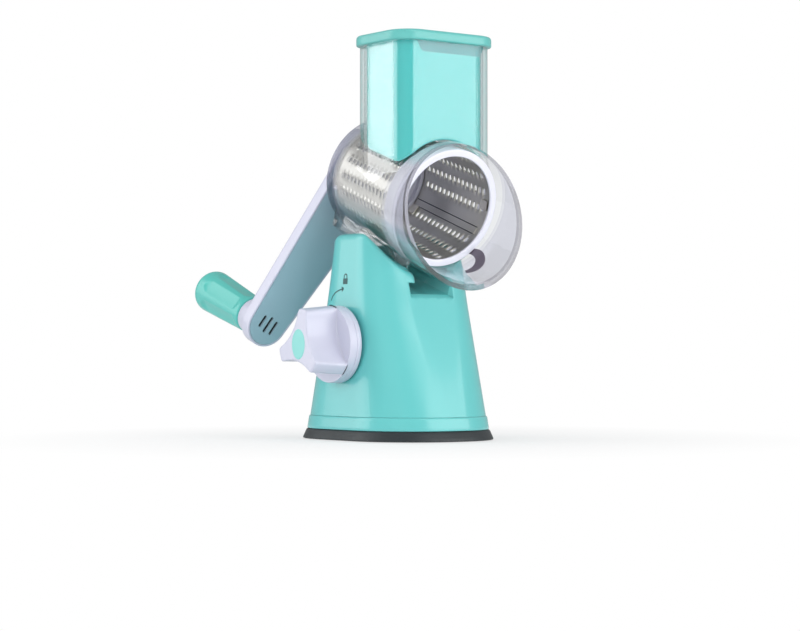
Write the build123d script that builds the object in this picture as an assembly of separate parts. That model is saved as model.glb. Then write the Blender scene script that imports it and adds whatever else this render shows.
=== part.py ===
from build123d import *
import math
import os

os.makedirs("parts", exist_ok=True)

# A hand-cranked rotary shredder: a tapered suction base carries a clear housing
# whose barrel, feed chute and flared mouth are one moulding.
# Millimetres, +Z up. The origin is the middle of the foot, on the table top.
# The mouth faces -Y, the crank stands behind the barrel at +Y, the lock knob is on the -X side.

far = 300.0               # longer than any piece, for cuts that go right through

# ---- clearances ----
running_clear = 0.05      # radial, a shaft or stud turning or sliding in its bore
press_clear = 0.02        # radial, a piece pressed or screwed home
part_gap = 0.35           # between pieces of different bodies that only pass each other
seat_gap = 0.1            # between pieces that are clamped face to face

# ---- rubber foot, band and base tower: half width, half length, corner radius ----
foot_half = (47.0, 63.5, 44.0)
foot_top_half = (44.6, 60.6, 41.6)
foot_height = 6.0
band_bottom_half = (44.4, 60.4, 41.4)
band_top_half = (43.4, 59.0, 40.4)
band_top = 14.0
tower_bottom_half = (42.8, 58.3, 39.8)
shoulder_half = (38.2, 34.0, 24.0)
shoulder_height = 88.0
crown_half = (36.0, 26.0, 18.0)
crown_height = 123.0
tower_wall = 2.6

# ---- inside the base ----
plate_thickness = 2.8
band_ledge = 3.4
band_wall = 5.6
boss_x = 23.0
boss_y = 32.0
boss_radius = 4.0
boss_height = 42.0
screw_radius = 1.5
screw_head_radius = 2.9
screw_head_height = 1.6
screw_length = 12.0
screw_hole_clear = 0.2    # radial, where a screw passes freely
screw_slot = (4.0, 0.8, 1.2)
boss_rib = (16.0, 2.0)    # reach and thickness
boss_rib_above = 3.0      # the ribs start this far above the band
pad_web = 3.2
pad_rim = 9.0
pad_boss_radius = 17.0
pad_boss_height = 10.0
stud_plate_radius = 13.0
stud_plate_thickness = 2.0
stud_plate_height = 5.0
stud_radius = 2.5
stud_length = 14.0
stud_room = 0.5           # past the stud's end, in the rod

# ---- lock knob, its shaft and the lifting gear ----
knob_height = 56.8
knob_disc_radius = 23.3
knob_disc_thickness = 3.2
knob_disc_edge = 0.4      # the lobes stop this far inside the disc
knob_disc_face = -42.5
knob_face = -72.0
knob_lobe_radius = 21.0
knob_lobe_angle = 12.0    # half the width of a lobe, in degrees
knob_waist = 10.4         # from the axis to the bottom of a finger scoop
knob_scoop_end = -50.5
knob_lobe_turn = 12.0     # turn of the top lobe from upright, in degrees
cap_half_width = 7.0
cap_half_height = 9.2
cap_thickness = 2.2
cap_edge = 0.6
cap_out = 0.3             # the cap stands proud of the knob's face
knob_screw_room = 5.0     # under the cap, for the knob's screw and the web it pulls on
knob_web = 1.4
knob_screw_slot = (1.6, 4.0, 0.8)
knob_edge = 0.8
shaft_radius = 5.0
shaft_flat = 4.0
shaft_end = 16.0
bush_wall = 3.0
bush_flange = 3.0         # thickness, and reach past the bush's wall
bracket_gap = 9.0
bracket_thickness = 3.0
bracket_width = 18.0
bracket_foot = 8.0
bracket_foot_height = 20.0
bracket_over = 4.0        # plastic left above the shaft
cam_radius = 8.0
cam_throw = 4.0
cam_thickness = 8.0
yoke_thickness = 7.0
yoke_wall = 4.0
yoke_corner = 3.0
lock_play = 1.2
rod_radius = 4.0
guide_wall = 2.6
guide_height = 12.0
cup_wall = 2.0
cup_play = 1.5
clip_radius = 7.5
clip_thickness = 1.0
clip_groove = 1.0         # depth
clip_play = 0.1
clip_opening = 3.4        # half width

# ---- drum axis: tilted down towards the mouth, through (0, 0, axis_height) ----
axis_height = 153.7
axis_tilt = 19.0

# ---- along the drum axis, from the point above the origin, towards the mouth ----
barrel_back = -24.5
barrel_flare = 30.0
rim_centre = 70.0
drum_back = -20.0
shell_front = 50.4
ring_face = 52.7
arm_front = -30.5

# ---- clear housing ----
barrel_back_radius = 34.0
barrel_taper = 0.065      # growth of the radius per millimetre towards the mouth
barrel_wall = 2.0
barrel_end_wall = 2.0
flange_radius = 35.2
flange_width = 3.0
rim_radius = 43.3
rim_lean = 25.3           # the rim's plane against the drum's, longer below
rim_cut = 2.0             # the hollow runs this far past the rim
chute_width = 70.0
chute_depth = 53.5
chute_corner = 15.0
chute_wall = 2.5
chute_centre = -26.8
chute_top = 233.6
saddle_radius = 42.3
saddle_floor = 2.8
saddle_clear = 0.2
rail_half = 15.3
rail_web_half = 11.0
rail_top = 47.0           # below the drum axis
rail_bottom = 53.6
rail_back = -8.0
rail_front = 50.5
rail_clear = 0.4
channel_wall = 2.1        # of the base, round the rail's slot
skirt_half = 27.5
skirt_wall = 2.4
skirt_back = -20.0
skirt_front = 44.0
lug_angle = -62.0         # from +X, turning towards the top
lug_outer = 13.5
lug_inner = 11.4
lug_shift = 2.8
lug_centre = 56.5         # along the drum axis
lug_clear = 0.5           # from the drum's ring as it slides out
lug_place = 39.3          # of its middle, from the drum axis
lug_height = 20.0         # before the mouth and the drum's ring trim it

# ---- drum ----
shell_thickness = 0.6
shell_front_radius = 34.4
shell_taper = 0.045       # growth of the radius per millimetre towards the mouth
ring_wall = 1.3
ring_length = 19.5
ring_lip = 31.5           # radius inside the lip
ring_lip_depth = 1.8
ring_edge = 0.5
row_count = 20            # places for a row, one of them left plain for the seam
seam_angle = -21.5        # from +X, turning towards the top
hole_count = 14
hole_pitch = 4.15
hole_first = -11.0
hole_radius = 1.15
seam_width = 8.0
seam_thickness = 1.3      # of the lapped strip with the sheet under it
seam_inside = 1.1         # the strip's middle, in from the outside of the sheet
seam_margin = 7.0         # from each end of the drum to the strip
cap_disc = 1.6
cap_over = 0.5
cap_depth = 5.0
cap_hub_radius = 12.0
cap_hub_length = 16.0
cap_hub_floor = 2.0       # plastic left at the end of the hub's square socket
tab_size = 6.0
tab_thickness = 0.6
tab_depth = 1.55          # of a tab's middle, in from the outside of the sheet
tab_turns = (-14.0, 24.0) # from the seam, at the back and at the front
tab_margins = (5.4, 2.0)  # from the drum's back and front

# ---- crank ----
journal_radius = 9.0
square_half = 6.0
bush_outer = 12.5
bush_flange_radius = 16.0
bush_flange_thickness = 2.0
bush_out = 0.4            # the bush stands proud of the barrel's back wall inside
arm_length = 113.5
arm_lean = 28.0           # from straight down, towards -X
arm_hub_radius = 21.2
arm_end_radius = 14.2
arm_thickness = 9.0
arm_wall = 2.0
arm_cover_thickness = 1.4
arm_cover_inset = 1.3
cover_clear = 0.15        # round the cover, in the arm's front
arm_boss_radius = 13.0
collar_radius = 11.8
collar_length = 9.5
collar_taper = 0.8        # radius lost towards the grip
spindle_radius = 3.0
spindle_head_radius = 5.2
spindle_head = 3.0
spindle_inside = 4.0      # its head is sunk this far in the grip
nut_half_flats = 5.0
nut_thickness = 3.0
nut_floor = 2.4           # plastic under the nut
nut_boss_wall = 4.0
hub_floor = 4.0           # plastic behind the shaft's square end
hub_screw_radius = 2.0
hub_screw_head_radius = 4.4
hub_screw_head = 1.95
hub_screw_length = 10.8   # with its head
hub_screw_slot = (6.0, 1.0, 1.4)
hub_screw_clear = 0.2
hub_screw_seat = 0.05     # under its head
spindle_slot = (7.0, 1.2, 1.6)
collar_seat = 2.0         # the arm's raised ring that the collar stands on
boss_inside = 0.8         # the arm's side wall is this much thicker inside
slot_width = 2.3
slot_pitch = 4.9
slot_lengths = (8.2, 11.0, 9.4)

# ---- grip ----
grip_near_radius = 11.3
grip_far_radius = 13.4
grip_length = 47.0
grip_dome = 9.5
flute_count = 6
flute_radius = 4.2
flute_depth = 1.1
flute_short = 8.0         # shorter than the grip
flute_near = 4.5          # towards the arm from the grip's middle
flute_turn = 30.0

# ---- pusher ----
pusher_gap = 1.5
pusher_wall = 2.0
pusher_rim = (74.0, 57.0, 16.0)
pusher_rim_height = 6.0
pusher_rim_edges = (1.4, 0.6)
pusher_plug = 4.0
pusher_cap_wall = 2.2
pusher_cap_top = 1.8
pusher_above_drum = 2.4

# ---- worked out from the sizes above ----
tilt = math.radians(axis_tilt)
drum_plane = Plane(
    origin=(0, 0, axis_height),
    x_dir=(1, 0, 0),
    z_dir=(0, -math.cos(tilt), -math.sin(tilt)),
)
on_axis = drum_plane.location      # x across, y up and square to the drum axis, z to the mouth
total_height = chute_top + part_gap + pusher_rim_height


def save(name, shape):
    export_step(shape, "parts/" + name + ".step")


def rounded(half, height):
    """A rounded rectangle of half width, half length and corner radius, at a height."""
    return Pos(0, 0, height) * RectangleRounded(2 * half[0], 2 * half[1], half[2])


def inset(half, amount):
    return tuple(value - amount for value in half)


def between(low, high, low_z, high_z, z):
    """The section at height z on the straight line between two others."""
    share = (z - low_z) / (high_z - low_z)
    return tuple(a + (b - a) * share for a, b in zip(low, high))


def rod_along_x(radius, start, end):
    middle = (start + end) / 2
    return Pos(middle, 0, 0) * Rot(0, 90, 0) * Cylinder(radius, abs(end - start))


def disc(radius, start, end):
    """A cylinder on the local z axis from start to end."""
    return Pos(0, 0, (start + end) / 2) * Cylinder(radius, abs(end - start))


def taper(start_radius, end_radius, start, end):
    """A cone frustum on the local z axis."""
    return Pos(0, 0, (start + end) / 2) * Cone(start_radius, end_radius, end - start)


def block(x_half, low, high, start, end):
    """A box, x_half either side, between two local y and two local z values."""
    middle = Pos(0, (low + high) / 2, (start + end) / 2)
    return middle * Box(2 * x_half, high - low, end - start)


def corners(shape):
    """Four copies of a shape, one at each screw boss."""
    placed = []
    for side in (-1, 1):
        for end in (-1, 1):
            placed.append(Pos(side * boss_x, end * boss_y, 0) * shape)
    return placed


# ---------------------------------------------------------------- base tower

def tower_half(z, amount):
    if z <= shoulder_height:
        half = between(tower_bottom_half, shoulder_half, band_top, shoulder_height, z)
    else:
        half = between(shoulder_half, crown_half, shoulder_height, crown_height, z)
    return inset(half, amount)


def tower(amount, low, high):
    levels = (low, shoulder_height, high)
    return loft([rounded(tower_half(z, amount), z) for z in levels], ruled=True)


def make_base_housing():
    bottom = band_top + seat_gap
    outer = tower(0, bottom, crown_height)
    outer -= on_axis * Cylinder(saddle_radius, far)
    cavity = tower(tower_wall, bottom - 1, crown_height - tower_wall)
    cavity -= on_axis * Cylinder(saddle_radius + saddle_floor, far)
    slot_floor = rail_bottom + rail_clear
    slot_side = rail_half + rail_clear
    channel = block(slot_side + channel_wall, -slot_floor - saddle_floor, 0,
                    rail_back - rail_clear - channel_wall, rail_front + 30)
    cavity -= on_axis * channel
    housing = outer - cavity
    boss = Pos(0, 0, (boss_height + plate_top) / 2)
    boss *= Cylinder(boss_radius, boss_height - plate_top)
    rib_bottom = band_top + boss_rib_above
    for side in (-1, 1):
        for end in (-1, 1):
            angle = math.degrees(math.atan2(end * boss_y, side * boss_x))
            rib = Pos(boss_rib[0] / 2, 0, 0) * Box(boss_rib[0], boss_rib[1], boss_height - rib_bottom)
            rib = Pos(side * boss_x, end * boss_y, (boss_height + rib_bottom) / 2) * Rot(0, 0, angle) * rib
            housing += rib & outer
    for post in corners(boss):
        housing += post
    pilot = Pos(0, 0, plate_top + screw_length / 2)
    pilot *= Cylinder(screw_radius + press_clear, screw_length + 4)
    for hole in corners(pilot):
        housing -= hole
    slot = block(slot_side, -slot_floor, -rail_top + rail_clear,
                 rail_back - rail_clear, rail_front + 30)
    slot += block(rail_web_half + rail_clear, -slot_floor, -saddle_radius + 6,
                  rail_back - rail_clear, rail_front + 30)
    housing -= on_axis * slot
    bush_hole = rod_along_x(shaft_radius + bush_wall + seat_gap / 2, -far, 0)
    housing -= Pos(0, 0, knob_height) * bush_hole
    return housing


plate_bottom = foot_height + seat_gap
plate_top = plate_bottom + plate_thickness
plate_half = inset(band_bottom_half, band_wall)


def make_base_ring():
    ring = loft([rounded(band_bottom_half, plate_bottom), rounded(band_top_half, band_top)])
    ring -= extrude(rounded(plate_half, plate_bottom), plate_thickness + seat_gap)
    inner = inset(plate_half, band_ledge)
    ring -= extrude(rounded(inner, plate_bottom), band_top)
    return ring


def make_base_plate():
    plate = extrude(rounded(inset(plate_half, seat_gap), plate_bottom), plate_thickness)
    # a cup over the pad's boss leaves it room to rise, and carries the rod's guide
    cup_radius = pad_boss_radius + cup_play
    cup_top = pad_boss_height + cam_throw + cup_play + cup_wall
    plate += disc(cup_radius + cup_wall, plate_bottom, cup_top)
    plate += disc(rod_radius + guide_wall, plate_bottom, cup_top + guide_height)
    post_height = knob_height + shaft_radius + bracket_over
    for side in (-1, 1):
        middle = side * (bracket_gap + bracket_thickness / 2)
        height = post_height - plate_top
        post = Pos(middle, 0, plate_top + height / 2) * Box(bracket_thickness, bracket_width, height)
        foot = Pos(middle + side * bracket_foot / 2, 0, plate_top + bracket_foot_height / 2)
        foot *= Box(bracket_foot, bracket_width, bracket_foot_height)
        plate += post + foot
    plate -= disc(cup_radius, 0, cup_top - cup_wall)
    plate -= Pos(0, 0, knob_height) * rod_along_x(shaft_radius + running_clear, -far, far)
    plate -= disc(rod_radius + running_clear, 0, cup_top + guide_height)
    for hole in corners(disc(screw_radius + screw_hole_clear, 0, boss_height)):
        plate -= hole
    for hole in corners(disc(screw_head_radius + screw_hole_clear, 0, plate_bottom + screw_head_height)):
        plate -= hole
    return plate


def make_base_screws():
    low = plate_bottom + seat_gap
    screw = disc(screw_head_radius, low, low + screw_head_height - seat_gap)
    screw += disc(screw_radius, low, low + screw_length)
    screw -= Pos(0, 0, low) * Box(*screw_slot)
    return Compound(children=corners(screw))


def make_suction_pad():
    pad = loft([rounded(foot_half, 0), rounded(foot_top_half, foot_height)])
    pad -= extrude(rounded(inset(foot_top_half, pad_rim), pad_web), foot_height)
    return pad - disc(pad_boss_radius + part_gap, 0, foot_height)


def make_pad_boss():
    """The middle of the pad, which the stud lifts to make the suction."""
    boss = disc(pad_boss_radius, 0, pad_boss_height)
    top = stud_plate_height + stud_plate_thickness
    boss -= disc(stud_plate_radius + press_clear, stud_plate_height - press_clear, top + press_clear)
    return boss - disc(stud_radius + press_clear, stud_plate_height, pad_boss_height + 1)


# ------------------------------------------------- lock knob and lifting gear

def make_pad_stud():
    top = stud_plate_height + stud_plate_thickness
    return disc(stud_plate_radius, stud_plate_height, top) + disc(stud_radius, top, top + stud_length)


rod_bottom = pad_boss_height + part_gap
window_low = -(shaft_radius + cam_throw + part_gap)
window_high = cam_radius + lock_play
window_back = cam_radius + cam_throw + part_gap
window_front = -(cam_radius + part_gap)


def make_lift_rod():
    low = window_low - yoke_wall
    high = window_high + yoke_wall
    wide = window_back - window_front + 2 * yoke_wall
    centre_y = (window_back + window_front) / 2
    yoke = Pos(0, centre_y, (low + high) / 2) * Box(yoke_thickness, wide, high - low)
    yoke = fillet(yoke.edges().filter_by(Axis.X), yoke_corner)
    window = Pos(0, centre_y, (window_low + window_high) / 2)
    window *= Box(2 * yoke_thickness, window_back - window_front, window_high - window_low)
    yoke -= window
    rod = Pos(0, 0, knob_height) * yoke
    rod += disc(rod_radius, rod_bottom, knob_height + low + 1)
    bore_top = stud_plate_height + stud_plate_thickness + stud_length + stud_room
    rod -= disc(stud_radius + press_clear, 0, bore_top)
    return rod


def make_lift_cam():
    cam = Pos(0, cam_throw, 0) * rod_along_x(cam_radius, -cam_thickness / 2, cam_thickness / 2)
    cam -= rod_along_x(shaft_radius + press_clear, -cam_thickness, cam_thickness)
    return Pos(0, 0, knob_height) * cam


shaft_head = knob_face + cap_thickness + knob_screw_room


def make_cam_shaft():
    shaft = rod_along_x(shaft_radius, shaft_head, shaft_end)
    flat_length = knob_disc_face - shaft_head
    flat = Pos(shaft_head + flat_length / 2, 0, shaft_flat + shaft_radius)
    shaft -= flat * Box(flat_length, 4 * shaft_radius, 2 * shaft_radius)
    groove = rod_along_x(shaft_radius + 1, clip_place, clip_place + clip_thickness + clip_play)
    groove -= rod_along_x(shaft_radius - clip_groove, clip_place - 1, clip_place + clip_thickness + 1)
    shaft -= groove
    shaft -= rod_along_x(screw_radius + press_clear, shaft_head - 1, shaft_head + screw_length)
    return Pos(0, 0, knob_height) * shaft


clip_place = bracket_gap + bracket_thickness + part_gap


def make_shaft_clip():
    start = clip_place + clip_play / 2
    clip = rod_along_x(clip_radius, start, start + clip_thickness)
    clip -= rod_along_x(shaft_radius - clip_groove + press_clear, 0, far)
    clip -= Pos(clip_place, 0, -clip_radius) * Box(4 * clip_thickness, 2 * clip_opening, 2 * clip_radius)
    return Pos(0, 0, knob_height) * clip


def make_knob_bush():
    inner = -shoulder_half[0] + tower_wall
    outside = knob_disc_face + part_gap
    bush = rod_along_x(shaft_radius + bush_wall, outside, inner + bush_flange)
    bush += rod_along_x(shaft_radius + bush_wall + bush_flange, inner, inner + bush_flange)
    bush -= rod_along_x(shaft_radius + running_clear, -far, 0)
    return Pos(0, 0, knob_height) * bush


def make_lock_knob():
    knob = rod_along_x(knob_disc_radius, knob_disc_face - knob_disc_thickness, knob_disc_face)
    length = knob_disc_face - knob_disc_thickness - knob_face
    body = Rot(0, 90, 0) * Cone(knob_lobe_radius, knob_disc_radius - knob_disc_edge, length)
    knob += Pos(knob_face + length / 2, 0, 0) * body
    # a scoop is a wide cylinder through its waist and the corners of its two lobes
    corner = math.radians(60 - knob_lobe_angle)
    corner_in = knob_lobe_radius * math.cos(corner)
    corner_out = knob_lobe_radius * math.sin(corner)
    reach = (corner_in**2 + corner_out**2 - knob_waist**2) / (2 * (corner_in - knob_waist))
    for turn in (60, 180, 300):
        scoop = rod_along_x(reach - knob_waist, knob_face - 1, knob_scoop_end)
        scoop = Pos(0, 0, reach) * scoop
        knob -= Rot(turn + knob_lobe_turn, 0, 0) * scoop
    front = knob.edges().filter_by(lambda edge: abs(edge.center().X - knob_face) < 0.01)
    knob = fillet(front, knob_edge)
    pocket = Rot(0, 90, 0) * Ellipse(cap_half_height + seat_gap, cap_half_width + seat_gap)
    knob -= Pos(knob_face - 1, 0, 0) * extrude(pocket, cap_thickness + 1, dir=(1, 0, 0))
    knob -= rod_along_x(screw_head_radius + screw_hole_clear, knob_face, shaft_head - seat_gap - knob_web)
    bore = rod_along_x(shaft_radius + press_clear, shaft_head - seat_gap, 0)
    flat = Pos(0, 0, shaft_flat + seat_gap + shaft_radius)
    flat *= Box(far, 4 * shaft_radius, 2 * shaft_radius)
    knob -= bore - flat
    knob -= rod_along_x(screw_radius + screw_hole_clear, knob_face, 0)
    return Pos(0, 0, knob_height) * knob


def make_knob_screw():
    seat = shaft_head - seat_gap - knob_web
    screw = rod_along_x(screw_head_radius, seat - screw_head_height, seat)
    screw += rod_along_x(screw_radius, seat, seat + screw_length)
    screw -= Pos(seat - screw_head_height, 0, 0) * Box(*knob_screw_slot)
    return Pos(0, 0, knob_height) * screw


def make_knob_cap():
    face = Rot(0, 90, 0) * Ellipse(cap_half_height, cap_half_width)
    cap = extrude(face, cap_thickness, dir=(1, 0, 0))
    outside = cap.edges().sort_by(Axis.X)[0]
    cap = fillet(outside, cap_edge)
    return Pos(knob_face - cap_out, 0, knob_height) * cap


# ---------------------------------------------------------------- clear housing

def barrel_radius(z):
    return barrel_back_radius + (z - barrel_back) * barrel_taper


def rim_plane(ahead):
    """The leaning plane of the mouth's rim, moved ahead along its own normal."""
    lean = math.radians(rim_lean)
    normal = (0, math.sin(lean), math.cos(lean))
    origin = (0, ahead * normal[1], rim_centre + ahead * normal[2])
    return Plane(origin=origin, x_dir=(1, 0, 0), z_dir=normal)


def barrel_form(amount, back, ahead):
    """Barrel and flared mouth as one solid, drawn in by a wall."""
    straight = taper(barrel_radius(back) - amount, barrel_radius(barrel_flare) - amount, back, barrel_flare)
    start = Pos(0, 0, barrel_flare) * Circle(barrel_radius(barrel_flare) - amount)
    end = rim_plane(ahead) * Circle(rim_radius - amount)
    return straight + loft([start, end], ruled=True)


def chute_form(amount, top):
    half = inset((chute_width / 2, chute_depth / 2, chute_corner), amount)
    low = axis_height - barrel_back_radius
    form = Pos(0, chute_centre, 0) * extrude(rounded(half, low), top - low)
    below = 0 if amount == 0 else 8
    return form - on_axis * block(far, below - far, below, -far, far)


def make_clear_housing():
    housing = on_axis * (barrel_form(0, barrel_back, 0)
                         + disc(flange_radius, barrel_back, barrel_back + flange_width))
    housing += chute_form(0, chute_top)
    foot = block(rail_web_half, -rail_bottom, -20, rail_back, rail_front)
    foot += block(rail_half, -rail_bottom, -rail_top, rail_back, rail_front)
    skirt = block(skirt_half, -saddle_radius, -20, skirt_back, skirt_front)
    skirt -= block(skirt_half - skirt_wall, -saddle_radius, -20,
                   skirt_back + skirt_wall, skirt_front - skirt_wall)
    foot += skirt & Cylinder(saddle_radius - saddle_clear, far)
    housing += on_axis * foot
    housing -= on_axis * barrel_form(barrel_wall, barrel_back + barrel_end_wall, rim_cut)
    housing -= chute_form(chute_wall, chute_top + 1)
    housing -= on_axis * disc(bush_outer + press_clear, barrel_back - flange_width, 0)
    return housing


def make_rear_bush():
    outside = barrel_back - seat_gap
    inside = barrel_back + barrel_end_wall
    bush = disc(bush_outer, outside - bush_flange_thickness, inside + bush_out)
    bush += disc(bush_flange_radius, outside - bush_flange_thickness, outside)
    bush -= disc(journal_radius + running_clear, -far, 0)
    return on_axis * bush


def make_guard_lug():
    """A crescent lug standing on the inside of the mouth, beside the drum's ring."""
    outside = Cylinder(lug_outer, lug_height)
    inside = Pos(lug_shift, -lug_shift, 0) * Cylinder(lug_inner, lug_height)
    crescent = Rot(0, 90, 0) * (outside - inside)
    lug = Rot(0, 0, lug_angle) * Pos(lug_place, 0, lug_centre) * crescent
    lug &= barrel_form(barrel_wall + seat_gap, barrel_back, rim_cut)
    lug -= Cylinder(shell_radius(ring_face) + ring_wall + lug_clear, far)
    return on_axis * lug


# ---------------------------------------------------------------- drum

def shell_radius(z):
    return shell_front_radius - (shell_front - z) * shell_taper


def make_drum_shell():
    outer = taper(shell_radius(drum_back), shell_radius(shell_front), drum_back, shell_front)
    inner_back = shell_radius(drum_back) - shell_thickness
    inner_front = shell_radius(shell_front) - shell_thickness
    shell = outer - taper(inner_back, inner_front, drum_back, shell_front)
    cutters = []
    for row in range(1, row_count):
        turn = seam_angle + row * 360 / row_count
        for hole in range(hole_count):
            z = hole_first + hole * hole_pitch
            cutter = Rot(0, 90, 0) * Cylinder(hole_radius, 6)
            cutters.append(Rot(0, 0, turn) * Pos(shell_radius(z), 0, z) * cutter)
    shell -= cutters
    seam_length = shell_front - drum_back - 2 * seam_margin
    middle = (shell_front + drum_back) / 2 + 1
    lean = math.degrees(math.atan(shell_taper))
    strip = Rot(0, lean, 0) * Box(seam_thickness, seam_width, seam_length)
    strip = Pos(shell_radius(middle) - seam_inside, 0, middle) * strip
    shell += Rot(0, 0, seam_angle) * strip
    return on_axis * shell


def make_drum_front_ring():
    back = ring_face - ring_length
    ring = taper(shell_radius(back) + ring_wall, shell_radius(ring_face) + ring_wall, back, ring_face)
    inside = seat_gap / 2
    lip = ring_face - ring_lip_depth
    ring -= taper(shell_radius(back) + inside, shell_radius(lip) + inside, back, lip)
    ring -= disc(ring_lip, back - 1, ring_face + 1)
    edge = ring.edges().filter_by(GeomType.CIRCLE).sort_by(Axis.Z)[-2:]
    ring = fillet(edge, ring_edge)
    return on_axis * ring


def make_drum_rear_cap():
    back = drum_back - cap_disc
    cap = disc(shell_radius(drum_back) + cap_over, back, drum_back - seat_gap / 2)
    fit = shell_radius(drum_back) - shell_thickness - seat_gap
    cap += disc(fit, back, drum_back + cap_depth)
    cap += disc(cap_hub_radius, back, drum_back + cap_hub_length)
    socket = square_half + running_clear
    cap -= block(socket, -socket, socket, back - 1, drum_back + cap_hub_length - cap_hub_floor)
    return on_axis * cap


def make_drum_tabs():
    tabs = []
    places = (drum_back + tab_margins[0] + tab_size / 2, shell_front - tab_margins[1] - tab_size / 2)
    for z, turn in zip(places, tab_turns):
        tab = Pos(shell_radius(z) - tab_depth, 0, z) * Box(tab_thickness, tab_size, tab_size)
        tabs.append(on_axis * (Rot(0, 0, seam_angle + turn) * tab))
    return Compound(children=tabs)


# ---------------------------------------------------------------- crank

arm_back = arm_front - arm_thickness
lean = math.radians(arm_lean)
arm_end = (-arm_length * math.sin(lean), -arm_length * math.cos(lean))


def arm_outline(amount, low, high):
    """Two circles and the straight sides that touch both, as a solid from low to high."""
    hub = arm_hub_radius - amount
    end = arm_end_radius - amount
    slope = math.asin((hub - end) / arm_length)
    points = []
    for radius, along in ((hub, 0), (end, arm_length)):
        points.append((along + radius * math.sin(slope), radius * math.cos(slope)))
    wide = Polyline(points[0], points[1], (points[1][0], -points[1][1]), (points[0][0], -points[0][1]),
                    close=True)
    face = make_face(wide) + Circle(hub) + Pos(arm_length, 0) * Circle(end)
    turn = math.degrees(math.atan2(arm_end[1], arm_end[0]))
    return Pos(0, 0, low) * Rot(0, 0, turn) * extrude(face, high - low)


def at_arm_end(shape):
    return Pos(arm_end[0], arm_end[1], 0) * shape


def make_crank_arm():
    arm = arm_outline(0, arm_back, arm_front)
    cover_floor = arm_front - arm_cover_thickness
    arm -= arm_outline(arm_cover_inset, cover_floor, arm_front + 1)
    arm -= arm_outline(arm_wall + boss_inside, arm_back + arm_wall, arm_front)
    boss_front = barrel_back - seat_gap - bush_flange_thickness - part_gap
    arm += disc(arm_boss_radius, arm_back, boss_front)
    arm += at_arm_end(disc(nut_half_flats + nut_boss_wall, arm_back, cover_floor - 2 * seat_gap))
    arm += at_arm_end(disc(collar_radius, arm_back - collar_seat, arm_back))
    socket = square_half + press_clear
    arm -= block(socket, -socket, socket, arm_back + hub_floor, 0)
    arm -= disc(hub_screw_radius + hub_screw_clear, arm_back - 1, 0)
    head_floor = arm_back + hub_screw_clear + hub_screw_head + hub_screw_seat
    arm -= disc(hub_screw_head_radius + hub_screw_clear, arm_back - 1, head_floor)
    arm -= at_arm_end(disc(spindle_radius + press_clear, arm_back - far, 0))
    nut = extrude(RegularPolygon(nut_half_flats + press_clear, 6, major_radius=False), 20)
    arm -= at_arm_end(Pos(0, 0, arm_back + nut_floor) * nut)
    return on_axis * arm


def make_crank_cover():
    low = arm_front - arm_cover_thickness + seat_gap / 2
    cover = arm_outline(arm_cover_inset + cover_clear, low, arm_front)
    cover -= disc(arm_boss_radius + 2 * cover_clear, low - 1, arm_front + 1)
    turn = math.degrees(math.atan2(arm_end[1], arm_end[0]))
    for place, length in zip((-1, 0, 1), slot_lengths):
        slot = extrude(SlotOverall(length, slot_width), 10)
        cover -= at_arm_end(Rot(0, 0, turn) * Pos(0, place * slot_pitch, low - 2) * slot)
    return on_axis * cover


def make_crank_shaft():
    journal_back = barrel_back - seat_gap - bush_flange_thickness - part_gap
    journal_front = drum_back - cap_disc - part_gap
    shaft = disc(journal_radius, journal_back + seat_gap / 2, journal_front)
    shaft += block(square_half, -square_half, square_half,
                   arm_back + hub_floor + seat_gap / 2, journal_back + 1)
    shaft += block(square_half, -square_half, square_half,
                   journal_front - 1, drum_back + cap_hub_length - cap_hub_floor - 1)
    shaft -= disc(hub_screw_radius + press_clear, arm_back, journal_back)
    return on_axis * shaft


def make_hub_screw():
    head_back = arm_back + hub_screw_clear
    screw = disc(hub_screw_head_radius, head_back, head_back + hub_screw_head)
    screw += disc(hub_screw_radius, head_back, head_back + hub_screw_length)
    screw -= Pos(0, 0, head_back) * Box(*hub_screw_slot)
    return on_axis * screw


collar_back = arm_back - collar_length
grip_start = collar_back - part_gap
grip_seam = grip_start - grip_length
spindle_end = grip_seam + spindle_inside


def make_grip_collar():
    collar = taper(collar_radius - collar_taper, collar_radius, collar_back, arm_back - collar_seat - seat_gap)
    collar -= disc(spindle_radius + press_clear, collar_back - 1, arm_back)
    return on_axis * at_arm_end(collar)


def make_grip_spindle():
    spindle = disc(spindle_radius, spindle_end + spindle_head - 1, arm_back + nut_floor + nut_thickness)
    spindle += disc(spindle_head_radius, spindle_end, spindle_end + spindle_head)
    spindle -= Pos(0, 0, spindle_end) * Box(*spindle_slot)
    return on_axis * at_arm_end(spindle)


def make_spindle_nut():
    nut = extrude(RegularPolygon(nut_half_flats, 6, major_radius=False), nut_thickness)
    nut = Pos(0, 0, arm_back + nut_floor + seat_gap / 2) * nut
    nut -= disc(spindle_radius + press_clear, arm_back, arm_front)
    return on_axis * at_arm_end(nut)


def make_grip():
    grip = taper(grip_far_radius, grip_near_radius, grip_seam, grip_start)
    slope = math.degrees(math.atan((grip_far_radius - grip_near_radius) / grip_length))
    flute_length = grip_length - flute_short
    middle = (grip_seam + grip_start) / 2 + flute_near
    for flute in range(flute_count):
        cutter = Cylinder(flute_radius, flute_length)
        cutter += Pos(0, 0, -flute_length / 2) * Sphere(flute_radius)
        radius = (grip_far_radius + grip_near_radius) / 2 + flute_radius - flute_depth
        cutter = Pos(radius, 0, middle) * Rot(0, -slope, 0) * cutter
        grip -= Rot(0, 0, flute * 360 / flute_count + flute_turn) * cutter
    grip -= disc(spindle_radius + running_clear, grip_seam - 1, grip_start + 1)
    grip -= disc(spindle_head_radius + part_gap, grip_seam - 1, spindle_end + spindle_head + part_gap)
    return on_axis * at_arm_end(grip)


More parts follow.
